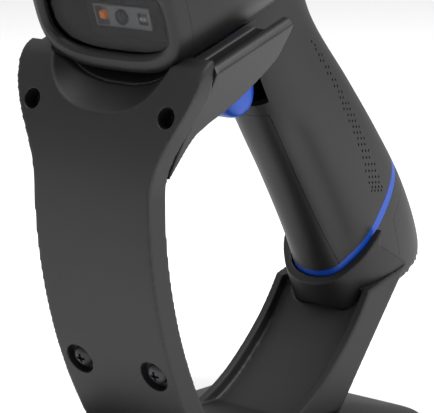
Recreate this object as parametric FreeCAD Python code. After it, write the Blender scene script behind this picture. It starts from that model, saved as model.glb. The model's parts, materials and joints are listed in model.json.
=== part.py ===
import FreeCAD
import Part
import math
import os

# Cordless pistol-grip barcode scanner, docked nose down in its hands-free stand.
# Stand frame: +Z up, -Y towards the customer, origin at the centre of the base on the table.
# Scanner frame (before docking): nose faces -Y, handle hangs down, origin low on the nose.

# Base
BASE_WIDTH = 95.0
BASE_LENGTH = 138.0
BASE_CORNER = 20.0
BASE_RIM_TOP = 4.6
BASE_CROWN_TOP = 9.0
BASE_CROWN_INSET = 15.0
BASE_LIFT = 1.0
WEIGHT_THICKNESS = 4.0
WEIGHT_INSET = 4.0
FOOT_RADIUS = 7.0
FOOT_RECESS = 0.8
FOOT_INSET = 12.0
FOOT_TO_SCREW = 3.0
BASE_SCREW_LENGTH = 5.0
BOLT_X = 12.0
BOLT_LENGTH = 10.0

# Front blade and the riser behind it
BLADE_HALF_WIDTH = 27.5
BLADE_THICKNESS = 8.8
BLADE_FRONT_Y = -76.6
BLADE_WAIST_Z = 109.0
BLADE_LOWER_RADIUS = 180.0
BLADE_UPPER_RADIUS = 98.0
EAR_STEP = 1.1
EAR_START_Z = 108.0
EAR_FULL_Z = 153.0
EAR_TOP_Z = 157.0
EAR_SCREW_X = 31.6
EAR_SCREW_Z = 137.1
EAR_SCREW_DEPTH = 6.0
EAR_HOLE_RADIUS = 3.7
LOW_SCREW_X = 17.9
LOW_SCREW_Z = 43.1
LOW_SINK_RADIUS = 6.0
LOW_BOSS_RADIUS = 7.8
SCOOP_HALF_WIDTH = 31.0
SCOOP_ROOT_Y = -54.0
SCOOP_ROOT_Z = 149.5
SCOOP_SLOPE = 36.0
SHELL_WALL = 3.0
SPINE_TOP_Z = 118.0
TOE_LENGTH = 7.6

# Cradle fork
CRADLE_WALL = 9.8
RIM_Z = 5.6
RIM_BEVEL = (1.2, 2.4)
RIM_WALL = 4.5
CHANNEL_INNER_HALF = 27.0
CHANNEL_FLOOR_Z = 0.5
FORK_SLOT_CLEARANCE = 1.7
FORK_SLOT_FRONT_Y = 14.0
MAGNET_RADIUS = 4.0
MAGNET_THICKNESS = 3.0

# Rear arm and handle cup
ARM_HALF_WIDTH = 23.2
ARM_RIM_WALL = 3.6
ARM_CHANNEL_DEPTH = 4.5
ARM_TOE = (-5.0, 10.6)
ARM_FOOT_REAR_Y = 35.4
CUP_WALL = 3.2
ARM_BOLT_Y = 24.0
BLADE_BOLT_Y = -36.0

# How the scanner sits in the stand
DOCK_TILT = 18.0
DOCK_Y = -63.2
DOCK_Z = 147.3
SEAT_GAP = 0.4

# Scanner head
HEAD_HALF_WIDTH = 34.4
HEAD_HEIGHT = 50.0
HEAD_LENGTH = 104.0
WALL = 2.2
PART_GAP = 0.1
BEZEL_DEPTH = 7.0
COVER_SPLIT_Z = 6.0
WINDOW_HALF_WIDTH = 28.5
WINDOW_BOTTOM_Z = 7.5
WINDOW_TOP_Z = 36.0
WINDOW_THICKNESS = 1.6
GASKET_THICKNESS = 0.6
GASKET_WIDTH = 2.4
WINDOW_SET_BACK = 2.6
BOSS_RADIUS = 3.4
BOSS_SEAT_Z = 5.0
HOUSING_SCREW_LENGTH = 14.0
BRACKET_ARM = 4.5

# Scanner handle
HANDLE_LENGTH = 136.0
STRIP_TOP_Z = -43.5
STRIP_TOP_DEPTH = 1.8
STRIP_FOOT_DEPTH = 3.35
DOOR_Y = 107.0
DOOR_DROP = 6.5
HANDLE_HALF_WIDTH = 19.3
RING_WIDTH = 2.5
RING_SLOPE = 34.0
RING_Y = 100.2
RING_ABOVE_FOOT = 32.7
FOOT_DROP = 1.5
BATTERY_RADIUS = 9.2
BATTERY_CLEARANCE = 0.5
BATTERY_LENGTH = 65.0
BATTERY_LEAN = 12.0
BATTERY_TOP_Y = 91.0
BATTERY_TOP_Z = -36.0

# Trigger
TRIGGER_HALF_WIDTH = 9.5
TRIGGER_GAP = 0.8
TRIGGER_BOTTOM_Z = -38.5
TRIGGER_FRONT_Y = 36.0
TRIGGER_REAR_Y = 60.5
TRIGGER_TRAVEL = 6.0
PIVOT_Y = 57.0
PIVOT_Z = 4.0
PIN_RADIUS = 1.5
PIN_CLEARANCE = 0.05
SWITCH_Z = -8.0
BUTTON_RADIUS = 1.5
BUTTON_REACH = 1.8
SPRING_Z = -20.0

# Fasteners: thread radius, head radius, head height
M3_SCREW = (1.5, 2.75, 1.7)
M4_PAN_SCREW = (2.0, 4.0, 2.6)
M4_BOLT = (2.0, 3.8, 2.2)
M2_SCREW = (1.0, 1.9, 1.2)
M25_SCREW = (1.25, 2.3, 1.8)
HOLE_CLEARANCE = 0.15

# Sizes that follow from the ones above
RIM_HALF_WIDTH = HEAD_HALF_WIDTH + CRADLE_WALL
EAR_HALF_WIDTH = RIM_HALF_WIDTH - EAR_STEP
FORK_SLOT_HALF = HANDLE_HALF_WIDTH + FORK_SLOT_CLEARANCE
RING_Z = RING_ABOVE_FOOT - HANDLE_LENGTH
HANDLE_FLOOR_Z = FOOT_DROP - HANDLE_LENGTH

X_AXIS = FreeCAD.Vector(1, 0, 0)
Y_AXIS = FreeCAD.Vector(0, 1, 0)
Z_AXIS = FreeCAD.Vector(0, 0, 1)
BIG = 400.0


# ---------- helpers ----------

def vec(x, y, z):
    return FreeCAD.Vector(x, y, z)


def block(x_range, y_range, z_range):
    """A box between two limits on each axis."""
    size = [high - low for low, high in (x_range, y_range, z_range)]
    return Part.makeBox(size[0], size[1], size[2], vec(x_range[0], y_range[0], z_range[0]))


def mid_block(half_width, y_range, z_range):
    """A box centred across the object."""
    return block((-half_width, half_width), y_range, z_range)


def cylinder(radius, length, start, direction):
    return Part.makeCylinder(radius, length, start, direction)


def rounded_plate(width, length, corner, bottom, top):
    """An upright prism with rounded corners, centred on the origin."""
    plate = mid_block(width / 2, (-length / 2, length / 2), (bottom, top))
    uprights = [edge for edge in plate.Edges if abs(edge.tangentAt(edge.FirstParameter).z) > 0.99]
    return plate.makeFillet(corner, uprights)


def side_profile(outline, half_width):
    """A closed outline of (y, z) points, extruded across the object."""
    points = [vec(-half_width, y, z) for y, z in outline]
    face = Part.Face(Part.makePolygon(points + points[:1]))
    return face.extrude(vec(2 * half_width, 0, 0))


def arc_points(centre, radius, start_degrees, end_degrees, count=12):
    """Points round an arc in the side view, from one angle to the other."""
    points = []
    for step in range(count + 1):
        angle = math.radians(start_degrees + (end_degrees - start_degrees) * step / count)
        points.append((centre[0] + radius * math.cos(angle), centre[1] + radius * math.sin(angle)))
    return points


def curve_between(points, count=16):
    """Points along a smooth curve through a few given points."""
    spline = Part.BSplineCurve()
    spline.interpolate(Points=[vec(0, y, z) for y, z in points])
    marks = spline.discretize(Number=count)
    return [(mark.y, mark.z) for mark in marks]


def oval(half_a, half_b, power, count=32):
    """A superellipse as (a, b) points."""
    points = []
    for step in range(count):
        angle = 2 * math.pi * (step + 0.5) / count
        cosine, sine = math.cos(angle), math.sin(angle)
        a = half_a * math.copysign(abs(cosine) ** (2 / power), cosine)
        b = half_b * math.copysign(abs(sine) ** (2 / power), sine)
        points.append((a, b))
    return points


def closed_curve(points):
    spline = Part.BSplineCurve()
    spline.interpolate(Points=points, PeriodicFlag=True)
    return Part.Wire(spline.toShape())


def below_plane(y, z, slope_degrees):
    """Everything under a plane that rises towards the rear at the given slope."""
    half_space = block((-BIG, BIG), (-BIG, BIG), (-BIG, 0))
    half_space.rotate(vec(0, 0, 0), X_AXIS, slope_degrees)
    half_space.translate(vec(0, y, z))
    return half_space


def dock(shape):
    """Moves a piece from the scanner's own frame to its place in the stand."""
    docked = shape.copy()
    docked.rotate(vec(0, 0, 0), X_AXIS, DOCK_TILT)
    docked.translate(vec(0, DOCK_Y, DOCK_Z))
    return docked


def docked_point(y, z):
    tilt = math.radians(DOCK_TILT)
    return (DOCK_Y + y * math.cos(tilt) - z * math.sin(tilt),
            DOCK_Z + y * math.sin(tilt) + z * math.cos(tilt))


def screw(fastener, length, head_seat, direction):
    """A screw whose head stands on its seat, and whose shank runs along direction."""
    thread_radius, head_radius, head_height = fastener
    back = direction * -head_height
    head = cylinder(head_radius, head_height, head_seat + back, direction)
    shank = cylinder(thread_radius, length, head_seat, direction)
    return head.fuse(shank).removeSplitter()


def screw_room(fastener, length, head_seat, direction, head_room):
    """The hole that a screw and its head need."""
    thread_radius, head_radius, head_height = fastener
    bore = cylinder(thread_radius, length + HOLE_CLEARANCE, head_seat, direction)
    sink_start = head_seat + direction * -head_room
    sink = cylinder(head_radius + 2 * HOLE_CLEARANCE, head_room, sink_start, direction)
    return bore.fuse(sink)


def write(name, shapes):
    """One STEP file per piece, or per group of like pieces."""
    solids = []
    for shape in shapes if isinstance(shapes, list) else [shapes]:
        solids.extend(shape.Solids)
    result = solids[0] if len(solids) == 1 else Part.makeCompound(solids)
    result.exportStep("parts/" + name + ".step")
    print(name, len(solids), round(sum(solid.Volume for solid in solids)), result.isValid())


# ---------- scanner envelope ----------

def head_solid(grow):
    """The head: a rounded barrel from nose to rear, grown or shrunk by an offset."""
    middle = HEAD_HEIGHT / 2
    stations = [
        # y, half width, half height, centre height
        (0.0, 0.96, 0.92, -0.04),
        (0.07, 1.0, 0.96, -0.02),
        (0.34, 1.0, 1.0, 0.0),
        (0.62, 0.92, 0.98, 0.0),
        (0.84, 0.72, 0.84, 0.02),
        (1.0, 0.40, 0.50, 0.06),
    ]
    wires = []
    for along, width_share, height_share, lift in stations:
        y = along * HEAD_LENGTH
        if along == 0.0:
            y -= grow
        if along == 1.0:
            y += grow
        centre = middle * (1 + lift)
        half_a = HEAD_HALF_WIDTH * width_share + grow
        half_b = middle * height_share + grow
        wires.append(closed_curve([vec(a, y, centre + b) for a, b in oval(half_a, half_b, 3.2)]))
    return Part.makeLoft(wires, True, False)


HANDLE_STATIONS = [
    # share of the length below the head, front y, rear y, share of the half width
    (-0.09, 52.0, 96.0, 0.86),
    (0.11, 54.5, 95.6, 0.87),
    (0.36, 60.7, 109.5, 0.94),
    (0.54, 67.0, 119.3, 0.98),
    (0.72, 72.4, 127.8, 1.0),
    (0.88, 76.0, 131.8, 1.0),
    (1.02, 78.5, 132.0, 0.96),
]


def grip_front_y(z):
    """The front of the grip at a height, taken between the stations."""
    share = -z / HANDLE_LENGTH
    for upper, lower in zip(HANDLE_STATIONS, HANDLE_STATIONS[1:]):
        if upper[0] <= share <= lower[0]:
            between = (share - upper[0]) / (lower[0] - upper[0])
            return upper[1] + between * (lower[1] - upper[1])
    return HANDLE_STATIONS[-1][1]


def handle_solid(grow):
    """The grip: ovals in level planes, from inside the head down to the foot."""
    wires = []
    for down, front, rear, width_share in HANDLE_STATIONS:
        z = -down * HANDLE_LENGTH
        half_a = HANDLE_HALF_WIDTH * width_share + grow
        half_b = (rear - front) / 2 + grow
        centre = (rear + front) / 2
        wires.append(closed_curve([vec(a, centre + b, z) for a, b in oval(half_a, half_b, 2.4)]))
    return Part.makeLoft(wires, True, False)


head = head_solid(0)
head_inside = head_solid(-WALL)
handle = handle_solid(0)
handle_inside = handle_solid(-WALL)
foot_round = curve_between(
    [(133.5, HANDLE_FLOOR_Z + 21.0), (132.0, HANDLE_FLOOR_Z + 12.0), (127.6, HANDLE_FLOOR_Z + 5.4),
     (120.0, HANDLE_FLOOR_Z + 1.8), (105.0, HANDLE_FLOOR_Z)]
)
foot_zone = side_profile(
    [(0.0, 60.0), (180.0, 60.0), (180.0, HANDLE_FLOOR_Z + 30.0)] + foot_round
    + [(84.0, HANDLE_FLOOR_Z - 1.5), (74.0, HANDLE_FLOOR_Z + 6.0), (0.0, HANDLE_FLOOR_Z + 30.0)],
    HEAD_HALF_WIDTH,
)
outer = head.fuse(handle.common(foot_zone))
inner = head_inside.fuse(handle_inside)
shell = outer.cut(inner)

# The seat in the stand: the scanner grown by the seating gap, with its way straight up
seat_head = dock(head_solid(SEAT_GAP))
seat_zone = foot_zone.translated(vec(0, 0, -SEAT_GAP))
seat_handle = dock(handle_solid(SEAT_GAP).common(seat_zone))

# ---------- scanner: nose ----------

nose_cut = block((-BIG, BIG), (-BIG, BEZEL_DEPTH), (-BIG, BIG))
window_middle = (WINDOW_BOTTOM_Z + WINDOW_TOP_Z) / 2
window_half_height = (WINDOW_TOP_Z - WINDOW_BOTTOM_Z) / 2


def window_prism(grow, front, rear):
    """A rounded opening across the nose."""
    points = oval(WINDOW_HALF_WIDTH + grow, window_half_height + grow, 3.0)
    wire = closed_curve([vec(a, front, window_middle + b) for a, b in points])
    return Part.Face(wire).extrude(vec(0, rear - front, 0))


gasket_rear = WINDOW_SET_BACK + GASKET_THICKNESS
window_rear = gasket_rear + WINDOW_THICKNESS
nose_inside = head_inside.common(block((-BIG, BIG), (WINDOW_SET_BACK, BEZEL_DEPTH + 1), (-BIG, BIG)))
nose_bezel = head.common(nose_cut).cut(window_prism(0, -5, 20)).cut(nose_inside)
window_gasket = window_prism(GASKET_WIDTH, WINDOW_SET_BACK, gasket_rear).cut(window_prism(0, -5, 20))
scan_window = window_prism(GASKET_WIDTH, gasket_rear, window_rear)

# ---------- scanner: imaging engine behind the window ----------

ENGINE_Z = 17.6
ENGINE_HALF_WIDTH = 13.3
ENGINE_HALF_HEIGHT = 4.4
ENGINE_FRONT_Y = 9.4
ENGINE_DEPTH = 12.0
LENS_RADIUS = 2.9
LED_RADIUS = 1.9
LED_SPACING = 9.6

engine_range = (ENGINE_Z - ENGINE_HALF_HEIGHT, ENGINE_Z + ENGINE_HALF_HEIGHT)
imager_engine = mid_block(ENGINE_HALF_WIDTH, (ENGINE_FRONT_Y, ENGINE_FRONT_Y + ENGINE_DEPTH), engine_range)
lens_bore = cylinder(LENS_RADIUS, 6, vec(0, ENGINE_FRONT_Y - 1, ENGINE_Z), Y_AXIS)
led_pockets = [
    cylinder(LED_RADIUS, 3, vec(side * LED_SPACING, ENGINE_FRONT_Y - 1, ENGINE_Z), Y_AXIS)
    for side in (-1, 1)
]
imager_engine = imager_engine.cut(lens_bore).cut(led_pockets[0]).cut(led_pockets[1])


def lens_solid(radius, x, front, depth):
    """A small barrel with a domed front."""
    barrel = cylinder(radius - PART_GAP, depth, vec(x, front, ENGINE_Z), Y_AXIS)
    rim = [edge for edge in barrel.Edges if edge.CenterOfMass.y < front + 0.01]
    return barrel.makeFillet(radius * 0.3, rim)


imager_lens = lens_solid(LENS_RADIUS, 0, ENGINE_FRONT_Y - 0.8, 5.6)
aimer_led = lens_solid(LED_RADIUS, -LED_SPACING, ENGINE_FRONT_Y - 0.4, 2.2)
illumination_led = lens_solid(LED_RADIUS, LED_SPACING, ENGINE_FRONT_Y - 0.4, 2.2)

bracket_half = ENGINE_HALF_WIDTH + BRACKET_ARM
engine_bracket = mid_block(bracket_half, (ENGINE_FRONT_Y + 1, ENGINE_FRONT_Y + 16), (9.0, 27.0))
engine_bay = mid_block(
    ENGINE_HALF_WIDTH + PART_GAP,
    (ENGINE_FRONT_Y - 1, ENGINE_FRONT_Y + ENGINE_DEPTH + PART_GAP),
    (engine_range[0] - PART_GAP, engine_range[1] + PART_GAP),
)
engine_bracket = engine_bracket.cut(engine_bay)

# ---------- scanner: covers and handle ----------

# The well gives the trigger's lower end room to swing back
trigger_swing = (PIVOT_Z - TRIGGER_BOTTOM_Z) * math.sin(math.radians(TRIGGER_TRAVEL))
trigger_well = mid_block(
    TRIGGER_HALF_WIDTH + TRIGGER_GAP,
    (TRIGGER_FRONT_Y - 2 * TRIGGER_GAP, TRIGGER_REAR_Y + trigger_swing + TRIGGER_GAP),
    (TRIGGER_BOTTOM_Z - 2 * TRIGGER_GAP, COVER_SPLIT_Z - 0.6),
)
ring_tilt = math.radians(RING_SLOPE)
ring_normal = vec(0, -math.sin(ring_tilt), math.cos(ring_tilt))


def ring_side(offset):
    """Everything below the ring's middle plane moved along its normal."""
    return below_plane(RING_Y + ring_normal.y * offset, RING_Z + ring_normal.z * offset, RING_SLOPE)


above_split = block((-BIG, BIG), (-BIG, BIG), (COVER_SPLIT_Z, BIG))
rear_of_nose = block((-BIG, BIG), (BEZEL_DEPTH + PART_GAP, BIG), (-BIG, BIG))
covers = shell.common(rear_of_nose)

# Bosses that the housing screws run through, and their places
SCREW_PLACES = [(-21.5, 24), (21.5, 24), (-19.5, 66), (19.5, 66)]
boss_parts = [cylinder(BOSS_RADIUS, HEAD_HEIGHT, vec(x, y, 0), Z_AXIS) for x, y in SCREW_PLACES]
bosses = boss_parts[0].multiFuse(boss_parts[1:]).common(head)
screw_rooms = [
    screw_room(M25_SCREW, HOUSING_SCREW_LENGTH, vec(x, y, BOSS_SEAT_Z), Z_AXIS, 12) for x, y in SCREW_PLACES
]
covers = covers.fuse(bosses).cut(screw_rooms[0].multiFuse(screw_rooms[1:]))
housing_screws = [
    screw(M25_SCREW, HOUSING_SCREW_LENGTH, vec(x, y, BOSS_SEAT_Z), Z_AXIS) for x, y in SCREW_PLACES
]

top_cover = covers.common(above_split)
below_split = block((-BIG, BIG), (-BIG, BIG), (-BIG, COVER_SPLIT_Z - PART_GAP))
lower_shell = covers.common(below_split).cut(trigger_well)
main_housing = lower_shell.cut(ring_side(RING_WIDTH / 2 + PART_GAP))

# The finger strip is parted off along a line just behind the front of the grip
strip_top_y = grip_front_y(STRIP_TOP_Z) + STRIP_TOP_DEPTH
strip_foot_y = grip_front_y(RING_Z) + STRIP_FOOT_DEPTH
strip_lean = math.degrees(math.atan2(strip_foot_y - strip_top_y, STRIP_TOP_Z - RING_Z))
strip_zone = block((-BIG, BIG), (-BIG, 0), (-BIG, 0))
strip_gap = block((-BIG, BIG), (-PART_GAP, 0), (-BIG, 0))
for zone in (strip_zone, strip_gap):
    zone.rotate(vec(0, 0, 0), X_AXIS, strip_lean)
    zone.translate(vec(0, strip_top_y, STRIP_TOP_Z))
grip_front = main_housing.common(strip_zone).cut(strip_gap)
main_housing = main_housing.cut(strip_zone)

# ---------- scanner: coloured ring, end cap and battery ----------

ring_band = ring_side(RING_WIDTH / 2).cut(ring_side(-RING_WIDTH / 2))
accent_ring = handle.cut(handle_inside).common(ring_band)

cap_shell = outer.cut(handle_inside.common(foot_zone.translated(vec(0, -WALL / 2, WALL))))
cap_shell = cap_shell.common(ring_side(-RING_WIDTH / 2 - PART_GAP))
door_zone = block((-BIG, BIG), (DOOR_Y, BIG), (-BIG, BIG)).common(ring_side(-DOOR_DROP))
door_grown = block((-BIG, BIG), (DOOR_Y - PART_GAP, BIG), (-BIG, BIG)).common(
    ring_side(-DOOR_DROP + PART_GAP)
)
end_cap = cap_shell.cut(door_grown)
battery_door = cap_shell.common(door_zone)

battery_lean = math.radians(BATTERY_LEAN)
battery_down = vec(0, math.sin(battery_lean), -math.cos(battery_lean))
battery_top = vec(0, BATTERY_TOP_Y, BATTERY_TOP_Z)
battery = cylinder(BATTERY_RADIUS, BATTERY_LENGTH, battery_top, battery_down)
battery_room = cylinder(
    BATTERY_RADIUS + BATTERY_CLEARANCE, BATTERY_LENGTH + 2 * BATTERY_CLEARANCE,
    battery_top - battery_down * BATTERY_CLEARANCE, battery_down,
)
main_housing = main_housing.cut(battery_room)
grip_front = grip_front.cut(battery_room)
end_cap = end_cap.cut(battery_room)
battery_door = battery_door.cut(battery_room)
contact_thickness = 0.6
battery_contacts = [
    cylinder(BATTERY_RADIUS * 0.6, contact_thickness, battery_top - battery_down * contact_thickness,
             battery_down),
    cylinder(BATTERY_RADIUS * 0.6, contact_thickness, battery_top + battery_down * BATTERY_LENGTH,
             battery_down),
]

# ---------- scanner: boards and sounder ----------

BOARD_Z = 10.0
BOARD_THICKNESS = 1.6
BOARD_HALF_WIDTH = 16.0
BOARD_FRONT_Y = 28.0
BOARD_REAR_Y = 88.0
board_top = BOARD_Z + BOARD_THICKNESS
main_board = mid_block(BOARD_HALF_WIDTH, (BOARD_FRONT_Y, BOARD_REAR_Y), (BOARD_Z, board_top))
board_screw_places = [(-13, 34), (13, 34), (0, 84)]
down = vec(0, 0, -1)
for x, y in board_screw_places:
    main_board = main_board.cut(screw_room(M2_SCREW, 3, vec(x, y, board_top), down, 3))
board_screws = [screw(M2_SCREW, 3, vec(x, y, board_top), down) for x, y in board_screw_places]
beeper = cylinder(6.0, 4.0, vec(0, 60, board_top), Z_AXIS)
beeper = beeper.cut(cylinder(1.0, 5.0, vec(0, 60, board_top + 2), Z_AXIS))

LIGHT_HALF_WIDTH = 8.0
LIGHT_FRONT_Y = 66.0
LIGHT_REAR_Y = 71.0


def light_zone(grow):
    """The slot in the cover's top that the light pipe fills."""
    along = (LIGHT_FRONT_Y - grow, LIGHT_REAR_Y + grow)
    return mid_block(LIGHT_HALF_WIDTH + grow, along, (HEAD_HEIGHT / 2, BIG))


status_light = top_cover.common(light_zone(0))
top_cover = top_cover.cut(light_zone(PART_GAP))

# ---------- scanner: trigger and switch ----------

pivot = vec(0, PIVOT_Y, PIVOT_Z)
trigger_outline = curve_between(
    [(40.0, 0.0), (38.6, -14.0), (39.4, -26.0), (42.0, -33.5), (47.0, TRIGGER_BOTTOM_Z)]
) + curve_between(
    [(53.0, TRIGGER_BOTTOM_Z), (57.6, TRIGGER_BOTTOM_Z + 2.0), (TRIGGER_REAR_Y, TRIGGER_BOTTOM_Z + 8.5)], 8
) + [(TRIGGER_REAR_Y, PIVOT_Z + 2), (50.0, PIVOT_Z + 2)]
trigger_body = side_profile(trigger_outline, TRIGGER_HALF_WIDTH)
trigger_core = mid_block(TRIGGER_HALF_WIDTH - WALL, (45.0, BIG), (TRIGGER_BOTTOM_Z + 3, 30))
eye = cylinder(3.6, 2 * TRIGGER_HALF_WIDTH, pivot - X_AXIS * TRIGGER_HALF_WIDTH, X_AXIS)
finger_tip_y = 67.05
finger = mid_block(1.5, (PIVOT_Y, finger_tip_y), (SWITCH_Z - 1.5, SWITCH_Z + 1.5))
finger = finger.fuse(mid_block(1.5, (PIVOT_Y - 2, PIVOT_Y + 2), (SWITCH_Z - 1.5, PIVOT_Z)))
trigger = trigger_body.cut(trigger_core).fuse(eye).fuse(finger)
pin_length = 2 * TRIGGER_HALF_WIDTH + 8.0
pin_start = pivot - X_AXIS * (pin_length / 2)
trigger = trigger.cut(cylinder(PIN_RADIUS + PIN_CLEARANCE, pin_length, pin_start, X_AXIS))
trigger_pin = cylinder(PIN_RADIUS, pin_length, pin_start, X_AXIS)

# Cheeks that hold the ends of the pin inside the housing
cheeks = []
for side in (-1, 1):
    inner_x = side * (TRIGGER_HALF_WIDTH + 1.0)
    outer_x = side * (HANDLE_HALF_WIDTH + 1.0)
    cheek_x = (min(inner_x, outer_x), max(inner_x, outer_x))
    cheeks.append(block(cheek_x, (PIVOT_Y - 4, PIVOT_Y + 4), (-10, COVER_SPLIT_Z - PART_GAP)))
cheek_room = cylinder(PIN_RADIUS, pin_length, pin_start, X_AXIS)
cheek_pair = cheeks[0].fuse(cheeks[1]).common(outer)
main_housing = main_housing.fuse(cheek_pair).cut(cheek_room)

switch_front = 69.0
switch_board = mid_block(8.0, (73.0, 74.2), (-24.0, 2.0))
trigger_switch = mid_block(3.0, (switch_front, 73.0), (SWITCH_Z - 3, SWITCH_Z + 3))
button_start = vec(0, switch_front - BUTTON_REACH, SWITCH_Z)
button_room = cylinder(BUTTON_RADIUS + PIN_CLEARANCE, BUTTON_REACH + 2.4, button_start, Y_AXIS)
trigger_switch = trigger_switch.cut(button_room)
switch_button = cylinder(BUTTON_RADIUS, BUTTON_REACH + 0.8, button_start, Y_AXIS)

SPRING_RADIUS = 2.4
SPRING_WIRE = 0.35
SPRING_TURNS = 5
spring_front = TRIGGER_REAR_Y + 0.2
spring_length = 73.0 - spring_front - 0.2
coil = Part.makeHelix((spring_length - 2 * SPRING_WIRE) / SPRING_TURNS,
                      spring_length - 2 * SPRING_WIRE, SPRING_RADIUS)
wire_start = vec(SPRING_RADIUS, 0, 0)
wire_ring = Part.Wire(Part.makeCircle(SPRING_WIRE, wire_start, Y_AXIS))
trigger_spring = Part.Wire(coil.Edges).makePipeShell([wire_ring], True, True)
trigger_spring.rotate(vec(0, 0, 0), X_AXIS, -90)
trigger_spring.translate(vec(0, spring_front + SPRING_WIRE, SPRING_Z))

# ---------- stand: base ----------

crown_bottom = rounded_plate(BASE_WIDTH, BASE_LENGTH, BASE_CORNER, BASE_LIFT, BASE_RIM_TOP)
inset = 2 * BASE_CROWN_INSET


def plate_outline(shrink, z):
    plate = rounded_plate(BASE_WIDTH - shrink, BASE_LENGTH - shrink, BASE_CORNER - shrink / 4, z - 1, z)
    top = max(plate.Faces, key=lambda face: face.CenterOfMass.z)
    return top.OuterWire


crown = Part.makeLoft([plate_outline(0, BASE_RIM_TOP), plate_outline(inset, BASE_CROWN_TOP)], True, True)
base_cover = crown_bottom.fuse(crown).removeSplitter()
weight_top = BASE_LIFT + WEIGHT_THICKNESS
weight_width = BASE_WIDTH - 2 * WEIGHT_INSET
weight_length = BASE_LENGTH - 2 * WEIGHT_INSET
weight_corner = BASE_CORNER - WEIGHT_INSET
pocket = rounded_plate(weight_width + PART_GAP, weight_length + PART_GAP, weight_corner, 0, weight_top)
base_cover = base_cover.cut(pocket)
base_weight = rounded_plate(weight_width, weight_length, weight_corner, BASE_LIFT, weight_top)
foot_x = weight_width / 2 - FOOT_INSET
foot_y = weight_length / 2 - FOOT_INSET
foot_places = [(0, 0)] + [(x * foot_x, y * foot_y) for x in (-1, 1) for y in (-1, 1)]
base_feet = [
    cylinder(FOOT_RADIUS, BASE_LIFT + FOOT_RECESS, vec(x, y, 0), Z_AXIS) for x, y in foot_places
]
base_screw_y = foot_y - FOOT_RADIUS - M3_SCREW[1] - FOOT_TO_SCREW
base_screw_places = [(x * foot_x, y * base_screw_y) for x in (-1, 1) for y in (-1, 1)]
base_head_z = BASE_LIFT + M3_SCREW[2]
stand_bolt_places = [(x * BOLT_X, y) for x in (-1, 1) for y in (BLADE_BOLT_Y, ARM_BOLT_Y)]
bolt_seat_z = BASE_LIFT + M4_BOLT[2]
base_tools = [
    cylinder(FOOT_RADIUS, BASE_LIFT + FOOT_RECESS, vec(x, y, 0), Z_AXIS) for x, y in foot_places
]
base_tools += [
    screw_room(M3_SCREW, BASE_SCREW_LENGTH, vec(x, y, base_head_z), Z_AXIS, M3_SCREW[2] + BASE_LIFT)
    for x, y in base_screw_places
]
base_tools += [
    screw_room(M4_BOLT, BOLT_LENGTH, vec(x, y, bolt_seat_z), Z_AXIS, M4_BOLT[2] + BASE_LIFT)
    for x, y in stand_bolt_places
]
fixing_holes = base_tools[0].multiFuse(base_tools[1:])
base_cover = base_cover.cut(fixing_holes)
base_weight = base_weight.cut(fixing_holes)
base_screws = [
    screw(M3_SCREW, BASE_SCREW_LENGTH, vec(x, y, base_head_z), Z_AXIS) for x, y in base_screw_places
]
stand_bolts = [screw(M4_BOLT, BOLT_LENGTH, vec(x, y, bolt_seat_z), Z_AXIS) for x, y in stand_bolt_places]

# ---------- stand: front blade and the riser behind it ----------

lower_centre = (BLADE_FRONT_Y + BLADE_LOWER_RADIUS, BLADE_WAIST_Z)
upper_centre = (BLADE_FRONT_Y + BLADE_UPPER_RADIUS, BLADE_WAIST_Z)


def blade_line(depth, bottom_z, top_z):
    """The blade's side line at a depth behind its front, from the foot to the ears."""
    lower_radius = BLADE_LOWER_RADIUS - depth
    upper_radius = BLADE_UPPER_RADIUS - depth
    foot_turn = math.degrees(math.asin((BLADE_WAIST_Z - bottom_z) / lower_radius))
    top_turn = math.degrees(math.asin((top_z - BLADE_WAIST_Z) / upper_radius))
    lower = arc_points(lower_centre, lower_radius, 180 + foot_turn, 180)
    upper = arc_points(upper_centre, upper_radius, 180, 180 - top_turn)
    return lower + upper[1:]


def ear_half_width(z):
    """The blade's half width: narrow column below, widening in an S curve to the ears."""
    share = min(max((z - EAR_START_Z) / (EAR_FULL_Z - EAR_START_Z), 0), 1)
    return BLADE_HALF_WIDTH + (EAR_HALF_WIDTH - BLADE_HALF_WIDTH) * math.sin(math.pi / 2 * share) ** 2


def front_view_prism(narrower):
    """The blade's outline seen from the front, extruded through the stand."""
    heights = [BASE_CROWN_TOP - 3] + [EAR_START_Z + 4 * step for step in range(12)] + [EAR_TOP_Z + 6]
    right = [(ear_half_width(z) - narrower, z) for z in heights]
    left = [(-x, z) for x, z in reversed(right)]
    points = [vec(x, -BIG / 2, z) for x, z in right + left]
    return Part.Face(Part.makePolygon(points + points[:1])).extrude(vec(0, BIG, 0))


ear_round = curve_between([(-67.6, 149.8), (-65.8, 152.7), (-63.3, 155.1), (-60.6, 156.6)], 8)
blade_front_line = blade_line(0, BASE_CROWN_TOP, 146.6)
blade_rear_line = blade_line(BLADE_THICKNESS, BASE_CROWN_TOP, 143.4)
blade_outline = blade_front_line + ear_round + list(reversed(blade_rear_line))
blade_solid = side_profile(blade_outline, EAR_HALF_WIDTH + 5).common(front_view_prism(0))

spine_front = blade_line(SHELL_WALL, BASE_CROWN_TOP, SPINE_TOP_Z)
spine_rear = blade_line(BLADE_THICKNESS, BASE_CROWN_TOP, SPINE_TOP_Z)
spine_pocket = side_profile(spine_front + list(reversed(spine_rear)), BLADE_HALF_WIDTH - SHELL_WALL)
toe_root_y = spine_rear[0][0]
toe_end_y = toe_root_y + TOE_LENGTH
spine_toe = [(toe_root_y - 1, BASE_CROWN_TOP), (toe_end_y, BASE_CROWN_TOP),
             (toe_end_y, BASE_CROWN_TOP + 1.5), (toe_root_y - 4.4, BASE_CROWN_TOP + 6.5),
             (spine_rear[3][0] - 1, spine_rear[3][1])]
toe = side_profile(spine_toe, BLADE_HALF_WIDTH - SHELL_WALL)

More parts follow.
